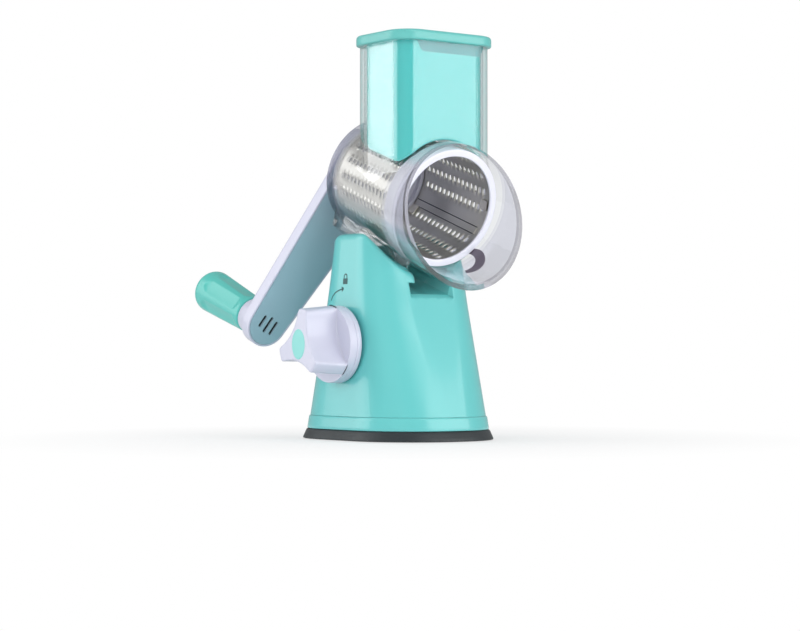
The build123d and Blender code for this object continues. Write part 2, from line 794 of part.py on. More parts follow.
def make_grip_cap():
    radius = grip_far_radius
    ball = (radius**2 + grip_dome**2) / (2 * grip_dome)
    seat = grip_seam - seat_gap / 2
    dome = Pos(0, 0, seat - grip_dome + ball) * Sphere(ball)
    dome &= disc(radius, seat - grip_dome - 1, seat)
    dome += disc(spindle_head_radius + part_gap - seat_gap, seat - 1, spindle_end - part_gap)
    return on_axis * at_arm_end(dome)


# ---------------------------------------------------------------- pusher

pusher_half = inset((chute_width / 2, chute_depth / 2, chute_corner), chute_wall + pusher_gap)


def pusher_form(amount, radius, low, top):
    form = Pos(0, chute_centre, 0) * extrude(rounded(inset(pusher_half, amount), low), top - low)
    form -= on_axis * block(far, -far, 0, -far, far)
    return form - on_axis * Cylinder(radius, far)


def make_pusher_body():
    over_drum = shell_front_radius + ring_wall + pusher_above_drum
    top = chute_top + part_gap - seat_gap
    body = pusher_form(0, over_drum, axis_height, top)
    return body - pusher_form(pusher_wall, over_drum + pusher_wall, axis_height, top + 1)


def make_pusher_cap():
    low = chute_top + part_gap
    rim = (pusher_rim[0] / 2, pusher_rim[1] / 2, pusher_rim[2])
    cap = extrude(rounded(rim, low), pusher_rim_height)
    cap = fillet(cap.edges().group_by(Axis.Z)[-1], pusher_rim_edges[0])
    cap = fillet(cap.edges().group_by(Axis.Z)[0], pusher_rim_edges[1])
    plug = inset(pusher_half, pusher_wall + seat_gap)
    cap += extrude(rounded(plug, low - pusher_plug), pusher_plug + 1)
    hollow = inset(plug, pusher_cap_wall)
    cap -= extrude(rounded(hollow, low - pusher_plug - 1), pusher_plug + pusher_rim_height - pusher_cap_top)
    return Pos(0, chute_centre, 0) * cap


pieces = {
    "base_housing": make_base_housing,
    "base_ring": make_base_ring,
    "base_plate": make_base_plate,
    "base_screws": make_base_screws,
    "suction_pad": make_suction_pad,
    "pad_boss": make_pad_boss,
    "pad_stud": make_pad_stud,
    "lift_rod": make_lift_rod,
    "lift_cam": make_lift_cam,
    "cam_shaft": make_cam_shaft,
    "shaft_clip": make_shaft_clip,
    "knob_bush": make_knob_bush,
    "lock_knob": make_lock_knob,
    "knob_screw": make_knob_screw,
    "knob_cap": make_knob_cap,
    "clear_housing": make_clear_housing,
    "rear_bush": make_rear_bush,
    "guard_lug": make_guard_lug,
    "drum_shell": make_drum_shell,
    "drum_front_ring": make_drum_front_ring,
    "drum_rear_cap": make_drum_rear_cap,
    "drum_tabs": make_drum_tabs,
    "crank_shaft": make_crank_shaft,
    "crank_arm": make_crank_arm,
    "crank_cover": make_crank_cover,
    "hub_screw": make_hub_screw,
    "grip_collar": make_grip_collar,
    "grip_spindle": make_grip_spindle,
    "spindle_nut": make_spindle_nut,
    "grip": make_grip,
    "grip_cap": make_grip_cap,
    "pusher_body": make_pusher_body,
    "pusher_cap": make_pusher_cap,
}

for name, make in pieces.items():
    save(name, make())
print("height", total_height)
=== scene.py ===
import math
import bmesh
import bpy
import numpy as np
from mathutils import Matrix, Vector


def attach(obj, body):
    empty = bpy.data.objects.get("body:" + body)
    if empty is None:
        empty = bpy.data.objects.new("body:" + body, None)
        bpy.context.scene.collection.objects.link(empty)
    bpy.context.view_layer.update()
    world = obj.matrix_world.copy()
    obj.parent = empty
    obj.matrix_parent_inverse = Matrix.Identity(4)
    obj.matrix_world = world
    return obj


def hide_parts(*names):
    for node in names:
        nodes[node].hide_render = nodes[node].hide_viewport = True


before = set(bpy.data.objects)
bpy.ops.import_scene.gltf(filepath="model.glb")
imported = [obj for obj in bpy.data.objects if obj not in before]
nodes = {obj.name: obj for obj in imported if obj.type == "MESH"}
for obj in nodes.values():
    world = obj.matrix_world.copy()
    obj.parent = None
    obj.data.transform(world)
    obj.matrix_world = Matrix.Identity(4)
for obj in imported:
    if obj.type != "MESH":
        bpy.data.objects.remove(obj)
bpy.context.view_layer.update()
print("frame loaded:", len(nodes), "nodes")

# Sizes are in millimetres, as in the part's drawing, and become metres when a mesh is filled.
# x is across, the mouth faces -y, the crank is behind at +y, z is up.

cameraSet = {
    "place": (-0.7807, -1.0633, 0.0535),
    "ahead": (0.59506, 0.80360, 0.011065),
    "lens": 97.97,
    "shift": (-0.00766, 0.0129),
    "sensor": 36.0, "clip": (0.05, 20.0),
}
cameraData = bpy.data.cameras.new("camera")
cameraData.lens = cameraSet["lens"]
cameraData.sensor_width = cameraSet["sensor"]
cameraData.shift_x, cameraData.shift_y = cameraSet["shift"]
cameraData.clip_start, cameraData.clip_end = cameraSet["clip"]
camera = bpy.data.objects.new("camera", cameraData)
bpy.context.scene.collection.objects.link(camera)
camera.location = cameraSet["place"]
camera.rotation_mode = "QUATERNION"
camera.rotation_quaternion = Vector(cameraSet["ahead"]).to_track_quat("-Z", "Y")
bpy.context.scene.camera = camera
print("camera")

# The drum's axis: its height at the middle of the part, and how far it leans down to the mouth.
axisSet = {"height": 153.7, "tilt": 19.0}
tilt = math.radians(axisSet["tilt"])
upAcross = np.array([0.0, -math.sin(tilt), math.cos(tilt)])
towardsMouth = np.array([0.0, -math.cos(tilt), -math.sin(tilt)])


# A socket that can be used in sums. Every sum becomes one Math node.
class Sock:
    def __init__(self, graph, out):
        self.graph = graph
        self.out = out

    def calc(self, operation, one, other, clamp=False):
        settings = {"operation": operation, "use_clamp": clamp}
        return self.graph.node("ShaderNodeMath", settings, i0=one, i1=other)

    def __add__(self, other):
        return self.calc("ADD", self, other)

    __radd__ = __add__

    def __sub__(self, other):
        return self.calc("SUBTRACT", self, other)

    def __rsub__(self, other):
        return self.calc("SUBTRACT", other, self)

    def __mul__(self, other):
        return self.calc("MULTIPLY", self, other)

    __rmul__ = __mul__

    def clamped(self):
        return self.calc("ADD", self, 0.0, True)


# A node tree. Settings go in before the sockets; a socket is named, or numbered as i0, i1.
class Graph:
    def __init__(self, tree):
        self.tree = tree

    def node(self, kind, settings=None, output=0, **sockets):
        made = self.tree.nodes.new(kind)
        for key, value in (settings or {}).items():
            setattr(made, key, value)
        for key, value in sockets.items():
            slot = made.inputs[int(key[1:])] if key[1:].isdigit() else made.inputs[key]
            if isinstance(value, Sock):
                self.tree.links.new(value.out, slot)
            else:
                slot.default_value = value
        return Sock(self, made.outputs[output])

    def rays(self, kind):
        return self.node("ShaderNodeLightPath", output=kind)


# One material: the shader's fixed values, and what varies over the surface.
class Finish(Graph):
    def __init__(self, name, **fixed):
        self.material = bpy.data.materials.new(name)
        self.material.use_nodes = True
        Graph.__init__(self, self.material.node_tree)
        self.shader = self.tree.nodes["Principled BSDF"]
        for socket, value in fixed.items():
            self.shader.inputs[socket.replace("_", " ")].default_value = value

    def feed(self, socket, value):
        self.tree.links.new(value.out, self.shader.inputs[socket])

    def surface(self, share, other):
        both = self.node("ShaderNodeMixShader", i0=share, i1=Sock(self, self.shader.outputs[0]), i2=other)
        self.tree.links.new(both.out, self.tree.nodes["Material Output"].inputs[0])

    def place(self, turn=(0, 0, 0), scale=(1, 1, 1)):
        coords = self.node("ShaderNodeTexCoord", output="Object")
        return self.node("ShaderNodeMapping", {"vector_type": "TEXTURE"}, Vector=coords, Rotation=turn,
                         Scale=scale)

    def noise(self, size, detail=3.0, where=None):
        return self.node("ShaderNodeTexNoise", Vector=where or self.place(), Scale=1000.0 / size,
                         Detail=detail, Roughness=0.55)

    def mix(self, share, one, other):
        return self.node("ShaderNodeMix", {"data_type": "RGBA"}, output=2, i0=share, i6=one, i7=other)

    def bump(self, height, depth):
        self.feed("Normal", self.node("ShaderNodeBump", Height=height, Distance=depth * 0.001, Strength=1.0))


# A colour written as on a screen, as linear values.
def rgb(text):
    values = [int(text[i:i + 2], 16) / 255 for i in (0, 2, 4)]
    return tuple(v / 12.92 if v <= 0.04045 else ((v + 0.055) / 1.055) ** 2.4 for v in values) + (1.0,)


# Moulded plastic: a cloudy change of colour, uneven gloss and very fine flow ripples.
# The gloss stays clear of 0.27, where the picture's noise filter changes its ways.
grainSet = {"cloud": 38.0, "gloss": 16.0, "uneven": 0.03, "ripple": 0.5, "rippleDeep": 0.0006}
plasticSet = {
    "mint plastic": dict(colour="66C5C4", shade="61C1C0", rough=0.31, coat=0.5, bend=1.5, below=0.05),
    "mint lid plastic": dict(colour="64BAB5", shade="60B7B2", rough=0.34, coat=0.2, bend=1.5, below=0.05),
    "pale mint plastic": dict(colour="56D2CE", shade="52CDC9", rough=0.16, coat=1.0, bend=1.8, below=0.05),
    "mint oval plastic": dict(colour="8FD8D3", shade="8AD4CF", rough=0.42, coat=0.0, bend=1.5, below=0.05),
    "mint grip plastic": dict(colour="56BFB6", shade="50B9B0", rough=0.31, coat=0.2, bend=1.5, below=0.05),
    "lilac white plastic": dict(colour="CACBDC", shade="C6C8DA", rough=0.31, coat=0.3, bend=1.5, below=0.05),
    "white ring plastic": dict(colour="E4E4F0", shade="DFE0ED", rough=0.31, coat=0.3, bend=1.5, below=0.05),
    "blue grey plastic": dict(colour="A3BFCB", shade="9BB8C5", rough=0.34, coat=0.0, bend=1.5, below=0.0),
    "grey purple plastic": dict(colour="6E6776", shade="655E6C", rough=0.38, coat=0.0, bend=1.5, below=0.0),
    "plain inner plastic": dict(colour="CBCFD0", shade="C2C6C8", rough=0.5, coat=0.0, bend=1.5, below=0.0),
    "dark mark ink": dict(colour="2F5557", shade="36605F", rough=0.5, coat=0.0, bend=1.5, below=0.0),
    # near-black, the painted shade of the arm's hollow behind the cover's slots
    "dark slot plastic": dict(colour="17191C", shade="1E2023", rough=0.6, coat=0.0, bend=1.5, below=0.0),
}


def mouldedPlastic(name):
    chosen = plasticSet[name]
    made = Finish(name, Coat_Weight=chosen["coat"], Coat_Roughness=0.08, Coat_IOR=chosen["bend"], IOR=1.5,
                  Subsurface_Weight=chosen["below"], Subsurface_Scale=0.003,
                  Subsurface_Radius=(1.0, 1.0, 1.0))
    cloud, gloss = made.noise(grainSet["cloud"], 2.0), made.noise(grainSet["gloss"], 2.0)
    made.feed("Base Color", made.mix(cloud, rgb(chosen["colour"]), rgb(chosen["shade"])))
    made.feed("Roughness", (chosen["rough"] + grainSet["uneven"] * (gloss - 0.5)).clamped())
    made.bump(made.noise(grainSet["ripple"], 2.0), grainSet["rippleDeep"])
    return made.material


# in the dictionary's order, as the steels are
(mint, mintLid, mintPale, mintOval, mintGrip, lilac, ringWhite, blueGrey, lugGrey, innerPlastic, markInk,
 paintedSlotShade) = map(mouldedPlastic, plasticSet)


# Rubber: two near blacks in clouds, a satin surface and a fine grain.
rubberSet = {"colour": "23292C", "shade": "2E3538", "rough": 0.46, "uneven": 0.16, "grain": 0.5, "deep": 0.03}


def rubberFinish():
    made = Finish("black rubber", IOR=1.5)
    cloud, gloss = made.noise(14.0, 4.0), made.noise(5.0, 3.0)
    made.feed("Base Color", made.mix(cloud, rgb(rubberSet["colour"]), rgb(rubberSet["shade"])))
    made.feed("Roughness", (rubberSet["rough"] + rubberSet["uneven"] * (gloss - 0.5)).clamped())
    made.bump(made.noise(rubberSet["grain"], 3.0), rubberSet["deep"])
    return made.material


# Brushed steel: fine lines along one axis of the object, turned and stretched.
steelSet = {
    "zinc steel": dict(colour="C9C8C4", shade="B9B8B4", rough=0.32, stretch=(1, 1, 1)),
    "bright tab steel": dict(colour="F4F1E4", shade="E6E2D4", rough=0.16, stretch=(1, 1, 1)),
    "drum sheet steel": dict(colour="E6E4DF", shade="DEDCD7", rough=0.33, stretch=(1, 9, 1)),
    # dark steel: the painted shade in the crevices at the seam strip's edges
    "lap line painted shade steel": dict(colour="4A494E", shade="3C3B40", rough=0.5, stretch=(1, 1, 1)),
}


def steelFinish(name):
    chosen = steelSet[name]
    made = Finish(name, Metallic=1.0)
    lines = made.noise(1.2, 2.0, where=made.place(turn=(-tilt, 0, 0), scale=chosen["stretch"]))
    cloud = made.noise(14.0, 3.0)
    made.feed("Base Color", made.mix(cloud, rgb(chosen["colour"]), rgb(chosen["shade"])))
    made.feed("Roughness", (chosen["rough"] + 0.05 * (lines - 0.5) + 0.03 * (cloud - 0.5)).clamped())
    made.bump(lines, 0.0008)
    return made.material


# Clear moulding: seen square on, light goes straight through; seen at a slant, it is bent.
# Light from lamps and other surfaces always goes straight through.
# The flare is the same moulding tinted a little greyer; the rims' dark grey is painted shade, for the dark
# outline that a clear edge shows.
clearSet = {
    "all": dict(rough=0.02, uneven=0.01, bend=1.42, lit="FAFAFA"),
    "clear plastic": dict(tint="F2F4F5", grey="EAEDEE", seen="F5F6F7", straight=1.0, slant=0.95),
    "clear flare": dict(tint="E8E9EE", grey="E2E3EA", seen="E8E9EE", straight=0.95, slant=0.85),
    # dark grey: painted shade along the rims
    "clear rim painted shade": dict(tint="8C8C95", grey="84848D", seen="C9C9D0", straight=0.35, slant=0.35),
}


def clearFinish(name):
    chosen, shared = clearSet[name], clearSet["all"]
    made = Finish(name, Transmission_Weight=1.0, IOR=shared["bend"], Coat_Weight=0.6, Coat_IOR=1.5,
                  Coat_Roughness=0.02)
    made.feed("Base Color", made.mix(made.noise(30.0, 2.0), rgb(chosen["tint"]), rgb(chosen["grey"])))
    made.feed("Roughness", (shared["rough"] + shared["uneven"] * (made.noise(7.0, 3.0) - 0.5)).clamped())
    lamps = made.rays("Is Shadow Ray") + made.rays("Is Diffuse Ray") + made.rays("Is Glossy Ray")
    slant = made.node("ShaderNodeLayerWeight", output=1, Blend=0.5)
    seen = made.node("ShaderNodeBsdfTransparent", Color=rgb(chosen["seen"]))
    lit = made.node("ShaderNodeBsdfTransparent", Color=rgb(shared["lit"]))
    through = made.node("ShaderNodeMixShader", i0=lamps.clamped(), i1=seen, i2=lit)
    made.surface((lamps + chosen["straight"] - chosen["slant"] * slant * slant).clamped(), through)
    return made.material


rubber = rubberFinish()
steel, tabSteel, drumSteel, lapShadeSteel = map(steelFinish, steelSet)
clear, clearFlare, clearRimShade = map(clearFinish, ("clear plastic", "clear flare", "clear rim painted shade"))
print("finishes")


# Turns (x, y, z) about the drum axis into the object's own axes.
def onAxis(points):
    return (points[..., :1] * np.array([1.0, 0.0, 0.0]) + points[..., 1:2] * upAcross
            + points[..., 2:3] * towardsMouth + np.array([0.0, 0.0, axisSet["height"]]))


# Points in one place become one point, and faces without area go.
def merge(mesh, outward):
    build = bmesh.new()
    build.from_mesh(mesh)
    bmesh.ops.remove_doubles(build, verts=build.verts, dist=2e-6)
    bmesh.ops.dissolve_degenerate(build, edges=build.edges, dist=1e-7)
    if outward:
        bmesh.ops.recalc_face_normals(build, faces=build.faces)
    build.to_mesh(mesh)
    build.free()


# Puts a mesh in the scene with its finish, smooth except at edges sharper than sharp.
def enter(name, mesh, look, sharp):
    mesh.materials.clear()
    mesh.materials.append(look)
    mesh.shade_smooth()
    mesh.set_sharp_from_angle(angle=math.radians(sharp))
    made = bpy.data.objects.new(name, mesh)
    bpy.context.scene.collection.objects.link(made)
    return made


# Fills one mesh from grids of points. Each patch is (points, wrap): wrap holds r where the last row
# joins the first, and c where the last column does.
def addPiece(name, patches, body, look, stands=(), sharp=35.0):
    coords, quads, start = [], [], 0
    for points, wrap in patches:
        rows, columns = points.shape[:2]
        index = start + np.arange(rows * columns).reshape(rows, columns)
        if "r" in wrap:
            index = np.vstack([index, index[:1]])
        if "c" in wrap:
            index = np.hstack([index, index[:, :1]])
        quads.append(np.stack([index[:-1, :-1], index[1:, :-1], index[1:, 1:], index[:-1, 1:]],
                              -1).reshape(-1, 4))
        coords.append(points.reshape(-1, 3))
        start += rows * columns
    coords = np.concatenate(coords) * 0.001
    quads = np.concatenate(quads)
    mesh = bpy.data.meshes.new(name)
    mesh.from_pydata(coords.tolist(), [], quads.tolist())
    merge(mesh, True)
    made = enter(name, mesh, look, sharp)
    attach(made, body)
    if stands:
        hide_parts(*stands)
    return made


# A merged copy of a CAD node, so that its curved faces shade smoothly.
def fromSolid(name, node, body, look, sharp=30.0):
    mesh = nodes[node].data.copy()
    mesh.name = name
    merge(mesh, False)
    made = enter(name, mesh, look, sharp)
    weight = made.modifiers.new("even shading", "WEIGHTED_NORMAL")
    weight.keep_sharp = True
    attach(made, body)
    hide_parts(node)
    return made


# Stations round a rounded rectangle: where each lies between the corners, and its direction.
def rimStations(corner=16, side=14):
    rows = []
    signs = ((1, 1), (-1, 1), (-1, -1), (1, -1))
    for quarter, (sx, sy) in enumerate(signs):
        turn = np.radians(90 * quarter + np.linspace(0, 90, corner))
        arc = np.stack([np.full(corner, sx), np.full(corner, sy), np.cos(turn), np.sin(turn)], 1)
        rows.append(arc)
        share = np.linspace(0, 1, side + 2)[1:-1, None]
        nextSigns = np.array(signs[(quarter + 1) % 4] + (arc[-1, 2], arc[-1, 3]), float)
        rows.append(arc[-1:] * (1 - share) + nextSigns * share)
    return np.concatenate(rows)


stations = rimStations()


# A rounded rectangle at height z: corner centre plus radius times direction.
# half is (half width, half length, corner radius), each a number or one value per point.
def rounded(half, z, at=(0.0, 0.0)):
    wide, long, radius = (np.asarray(value, float) for value in half)
    x = at[0] + stations[:, 0] * (wide - radius) + stations[:, 2] * radius
    y = at[1] + stations[:, 1] * (long - radius) + stations[:, 3] * radius
    return np.stack(np.broadcast_arrays(x, y, np.asarray(z, float)), -1)


def inset(half, amount):
    return tuple(value - amount for value in half)


# Rounded rectangles on top of each other: each level is (half, inset, height).
def stack(levels, at=(0.0, 0.0)):
    return np.stack([rounded(inset(half, amount), z, at) for half, amount, z in levels])


# Rings that shrink in a plane onto a centre point.
def closing(ring, centre, count=6):
    share = np.linspace(1, 0, count + 1)[1:, None, None]
    return ring[None] * share + np.asarray(centre, float) * (1 - share)


# A profile of (radius, z) carried round the drum axis: (r cos t, r sin t, z).
def spun(profile, count=96, at=(0.0, 0.0)):
    profile = np.asarray(profile, float)
    turn = np.linspace(0, 2 * np.pi, count, endpoint=False)
    radius = profile[:, :1]
    flat = np.stack([at[0] + radius * np.cos(turn), at[1] + radius * np.sin(turn),
                     np.repeat(profile[:, 1:], count, 1)], -1)
    return onAxis(flat)


# An open profile with each inner corner cut by an arc of its own radius.
def roundedCorner(points, radii, steps=5):
    points = np.asarray(points, float)
    made = [points[0]]
    for before, corner, after, r in zip(points, points[1:], points[2:], radii):
        a = (before - corner) / np.linalg.norm(before - corner)
        b = (after - corner) / np.linalg.norm(after - corner)
        if r <= 0:
            made.append(corner)
            continue
        half = math.acos(max(-1.0, min(1.0, float(a @ b)))) / 2
        reach = r / math.tan(half)
        centre = corner + (a + b) / np.linalg.norm(a + b) * r / math.sin(half)
        start, end = corner + a * reach - centre, corner + b * reach - centre
        sweep = math.acos(max(-1.0, min(1.0, float(start @ end) / r / r)))
        for share in np.linspace(0, 1, steps):
            made.append(centre + (start * math.sin((1 - share) * sweep) + end * math.sin(share * sweep))
                        / math.sin(sweep))
    made.append(points[-1])
    return np.array(made)


footSet = {
    "bottom": (47.0, 63.5, 44.0), "top": (44.6, 60.6, 41.6), "height": 6.0,
    "hole": 17.35, "web": 3.2,
}
print("foot and band")


def between(low, high, share):
    return tuple(a + (b - a) * share for a, b in zip(low, high))


# The foot: rounded rectangles whose half sizes run straight from bottom to top, less a small inset
# at the edges, then down to the web and in to the round hole.
def footSurface():
    low, high, tall = footSet["bottom"], footSet["top"], footSet["height"]
    edge = [(between(low, high, z / tall), amount, z) for z, amount in
            ((0.0, 0.9), (0.12, 0.45), (0.4, 0.16), (0.8, 0.0), (2.4, 0.0), (4.0, 0.0), (5.1, 0.0),
             (5.6, 0.15), (5.88, 0.45), (6.0, 0.9))]
    upper = edge + [(high, 9.0, tall), (high, 9.0, footSet["web"])]
    rings = stack([(low, 20.0, 0.0), *upper, (high, 20.0, footSet["web"])])
    turn = np.arctan2(rings[0, :, 1], rings[0, :, 0])
    hole = footSet["hole"]
    middle = np.stack([hole * np.cos(turn), hole * np.sin(turn), np.zeros(len(turn))], -1)
    above = middle.copy()
    above[:, 2] = footSet["web"]
    return np.concatenate([middle[None], rings, above[None]])


addPiece("footRubber", [(footSurface(), "rc")], "base", rubber, ("suction_pad",))

bandSet = {"bottom": (44.4, 60.4, 41.4), "top": (43.4, 59.0, 40.4), "low": 6.1, "high": 14.0, "wall": 5.6}


# The band: the same straight run less a small inset at the edges, closed inside by a wall.
def bandSurface():
    low, high, z0, z1 = bandSet["bottom"], bandSet["top"], bandSet["low"], bandSet["high"]
    levels = []
    for z, amount in ((0.0, 0.5), (0.15, 0.15), (0.5, 0.0), (2.6, 0.0), (5.2, 0.0), (7.0, 0.0),
                      (7.5, 0.12), (7.8, 0.36), (7.9, 0.7)):
        levels.append((between(low, high, z / (z1 - z0)), amount, z0 + z))
    levels.append((high, bandSet["wall"], z1))
    levels.append((low, bandSet["wall"], z0))
    return stack(levels)


addPiece("footBand", [(bandSurface(), "rc")], "base", mint, ("base_ring",))

towerSet = {
    "bottom": (42.8, 58.3, 39.8), "shoulder": (38.2, 34.0, 24.0), "crown": (36.0, 26.0, 18.0),
    "low": 14.1, "shoulderHeight": 88.0, "high": 123.0, "blend": 14.0, "saddle": 42.3, "edge": 4.4,
    "narrow": 11.4, "wide": 15.7, "lip": 46.6, "floor": 54.0, "slotBack": -8.4, "slotFront": 90.0,
    "slotAbove": -30.0, "slopeFrom": 14.0, "under": 2.6, "guess": 110.0,
}
print("base tower")


# Half sizes at height z: two straight slopes that meet in a smooth bend of twice blend.
def towerHalf(z):
    bottom, shoulder, crown = (np.array(towerSet[k]) for k in ("bottom", "shoulder", "crown"))
    lowSlope = (shoulder - bottom) / (towerSet["shoulderHeight"] - towerSet["slopeFrom"])
    highSlope = (crown - shoulder) / (towerSet["high"] - towerSet["shoulderHeight"])
    past = np.asarray(z, float)[..., None] - towerSet["shoulderHeight"]
    blend = towerSet["blend"]
    bend = np.where(past < -blend, 0.0, np.where(past > blend, past, (past + blend) ** 2 / (4 * blend)))
    return shoulder + lowSlope * past + (highSlope - lowSlope) * bend


def towerRing(z, amount=0.0):
    half = towerHalf(z)
    return rounded([half[..., i] - amount for i in range(3)], z)


# Height of the saddle's cylinder under the drum axis at (x, y).
def saddleHeight(x, y):
    below = -np.sqrt(np.maximum(towerSet["saddle"] ** 2 - x ** 2, 1.0))
    return np.minimum((below + y * math.sin(tilt)) / math.cos(tilt) + axisSet["height"], towerSet["high"])


# Columns climb the outside to where they meet the saddle, round its edge and close over it.
def towerSurface():
    columns = len(stations)
    top = np.full(columns, towerSet["guess"])  # comes closer to the saddle in each round
    for turn in range(40):
        ring = towerRing(top)
        top = 0.5 * top + 0.5 * saddleHeight(ring[:, 0], ring[:, 1])
    edge = towerSet["edge"]
    rows = []
    for share in np.linspace(0, 1, 60):
        rows.append(towerRing(towerSet["low"] + (top - edge - towerSet["low"]) * share))
    for angle in np.radians([10, 20, 30, 40, 50, 60, 70, 80, 90]):
        amount = edge * (1 - math.cos(angle))
        rows.append(towerRing(top - edge + edge * math.sin(angle), amount))
        rows[-1][:, 2] = np.minimum(rows[-1][:, 2], saddleHeight(rows[-1][:, 0], rows[-1][:, 1]))
    last = rows[-1]
    middle = last.mean(0)
    for share in np.linspace(1, 0, 26)[1:]:
        ring = last * share + middle * (1 - share)
        ring[:, 2] = saddleHeight(ring[:, 0], ring[:, 1])
        rows.append(ring)
    bottom = towerRing(np.full(columns, towerSet["low"]), towerSet["under"])
    rows.insert(0, bottom)
    rows = np.stack(rows)
    under = closing(bottom, (0, 0, towerSet["low"]))[::-1]
    return np.concatenate([under, rows])


# The T-shaped slot, a cross-section in (x, y) carried along the drum axis.
def slotCutter(narrow, wide, lip, floor, back, front, above):
    outline = np.array([(-narrow, above), (-narrow, -lip), (-wide, -lip), (-wide, -floor),
                        (wide, -floor), (wide, -lip), (narrow, -lip), (narrow, above)], float)
    rows = []
    for z, scale in ((back, 0.0), (back, 1.0), (front, 1.0), (front, 0.0)):
        middle = np.array([0.0, -lip])
        flat = middle + (outline - middle) * scale
        rows.append(np.concatenate([flat, np.full((len(flat), 1), z)], 1))
    return onAxis(np.stack(rows))


# Takes a closed form out of a piece, as a tool would.
def cutWith(target, patches):
    tool = addPiece("cutter", patches, "base", mint)
    cut = target.modifiers.new("cut", "BOOLEAN")
    cut.operation = "DIFFERENCE"
    cut.solver = "EXACT"
    cut.object = tool
    bpy.context.view_layer.update()
    mesh = bpy.data.meshes.new_from_object(target.evaluated_get(bpy.context.evaluated_depsgraph_get()))
    target.modifiers.clear()
    target.data = mesh
    bpy.data.objects.remove(tool)


tower = addPiece("baseTower", [(towerSurface(), "c")], "base", mint, ("base_housing",), sharp=28)
cutWith(tower, [(slotCutter(towerSet["narrow"], towerSet["wide"], towerSet["lip"], towerSet["floor"],
                            towerSet["slotBack"], towerSet["slotFront"], towerSet["slotAbove"]), "c")])

# A thin arrow and a plain padlock sign, in millimetres (y, z) on the tower's left side.
markSet = {
    "wide": 0.8, "thick": 0.14,
    "arrow": [(15.2, 83.2), (13.6, 85.6), (11.2, 87.5), (8.4, 88.7), (5.4, 89.5), (2.2, 90.1)],
    "barb": 2.3, "barbTurn": 32, "lock": (0.8, 94.4), "lockHalf": (2.3, 1.7),
    "bow": 1.4, "bowHigh": 1.2, "legLow": -0.3,
}
print("marks")


# Distance of the tower's left side from the middle at (y, z): flat, then round the corner's arc.
def leftSide(y, z):
    half = towerHalf(z)
    over = np.maximum(np.abs(y) - (half[..., 1] - half[..., 2]), 0.0)
    return half[..., 0] - half[..., 2] + np.sqrt(half[..., 2] ** 2 - over ** 2)


# A line of even width laid on the tower: a flat section carried along the points.
def inkLine(points, wide):
    points = np.asarray(points, float)
    along = np.gradient(points, axis=0)
    along /= np.linalg.norm(along, axis=1, keepdims=True)
    across = np.stack([-along[:, 1], along[:, 0]], 1) * wide / 2
    half = markSet["thick"] / 2
    sides = []
    for side, out in ((1, half), (-1, half), (-1, -half), (1, -half)):
        flat = points + side * across
        sides.append(np.stack([-leftSide(flat[:, 0], flat[:, 1]) - out, flat[:, 0], flat[:, 1]], 1))
    rows = np.stack(sides, 1)
    ends = [np.broadcast_to(rows[i].mean(0), rows[i].shape) for i in (0, -1)]
    return np.stack([ends[0], *rows, ends[1]])


def knobMarks():
    wide, arrow = markSet["wide"], np.array(markSet["arrow"])
    tip = arrow[-1]
    back = (arrow[-2] - tip) / np.linalg.norm(arrow[-2] - tip)
    lines = [inkLine(arrow, wide)]
    for turn in np.radians([markSet["barbTurn"], -markSet["barbTurn"]]):
        reach = np.array([back[0] * math.cos(turn) - back[1] * math.sin(turn),
                          back[0] * math.sin(turn) + back[1] * math.cos(turn)]) * markSet["barb"]
        lines.append(inkLine([tip, tip + reach / 2, tip + reach], wide))
    middle, (halfWide, halfTall) = np.array(markSet["lock"]), markSet["lockHalf"]
    body = [middle + np.array([0.0, -halfTall]), middle, middle + np.array([0.0, halfTall])]
    lines.append(inkLine(body, 2 * halfWide))
    turn = np.linspace(0, np.pi, 12)
    bow = np.stack([markSet["bow"] * np.cos(turn), markSet["bow"] * np.sin(turn) + markSet["bowHigh"]], 1)
    legs = [(markSet["bow"], markSet["legLow"]), *bow, (-markSet["bow"], markSet["legLow"])]
    lines.append(inkLine(middle + np.array([0.0, halfTall]) + np.array(legs), wide))
    return [(line, "c") for line in lines]


addPiece("knobMarks", knobMarks(), "base", markInk)

knobSet = {
    "height": 56.8, "disc": 23.0, "discBack": -42.5, "discFront": -45.7, "face": -72.0,
    "lobe": 21.0, "lobeBack": 22.9, "lobeAngle": 12.0, "waist": 10.4, "scoopEnd": -50.5,
    "turn": 12.0, "edge": 1.1, "foot": 0.8, "neck": 4.0, "capHigh": 9.2, "capWide": 7.0, "capSunk": 0.5,
}
print("lock knob")


# Distance from the axis to the knob's side: the lobe's circle, cut by three wide scoops.
def knobReach(angle, lobe):
    corner = math.radians(60 - knobSet["lobeAngle"])
    inward, outward = knobSet["lobe"] * math.cos(corner), knobSet["lobe"] * math.sin(corner)
    waist = knobSet["waist"]
    reach = (inward ** 2 + outward ** 2 - waist ** 2) / (2 * (inward - waist))
    radius = np.full_like(angle, lobe)
    for turn in (60, 180, 300):
        off = angle - math.radians(turn + knobSet["turn"])
        along = reach * np.cos(off)
        square = along ** 2 - reach ** 2 + (reach - waist) ** 2
        hit = np.where((square > 0) & (np.cos(off) > 0), along - np.sqrt(np.maximum(square, 0)), 99.0)
        radius = np.minimum(radius, np.where(hit > 0, hit, 99.0))
    return radius


# Rounds sharp turns of a closed curve by a running mean.
def softened(values, width):
    window = np.hanning(width + 2)[1:-1]
    window /= window.sum()
    padded = np.concatenate([values[-width:], values, values[:width]])
    return np.convolve(padded, window, "same")[width:-width]


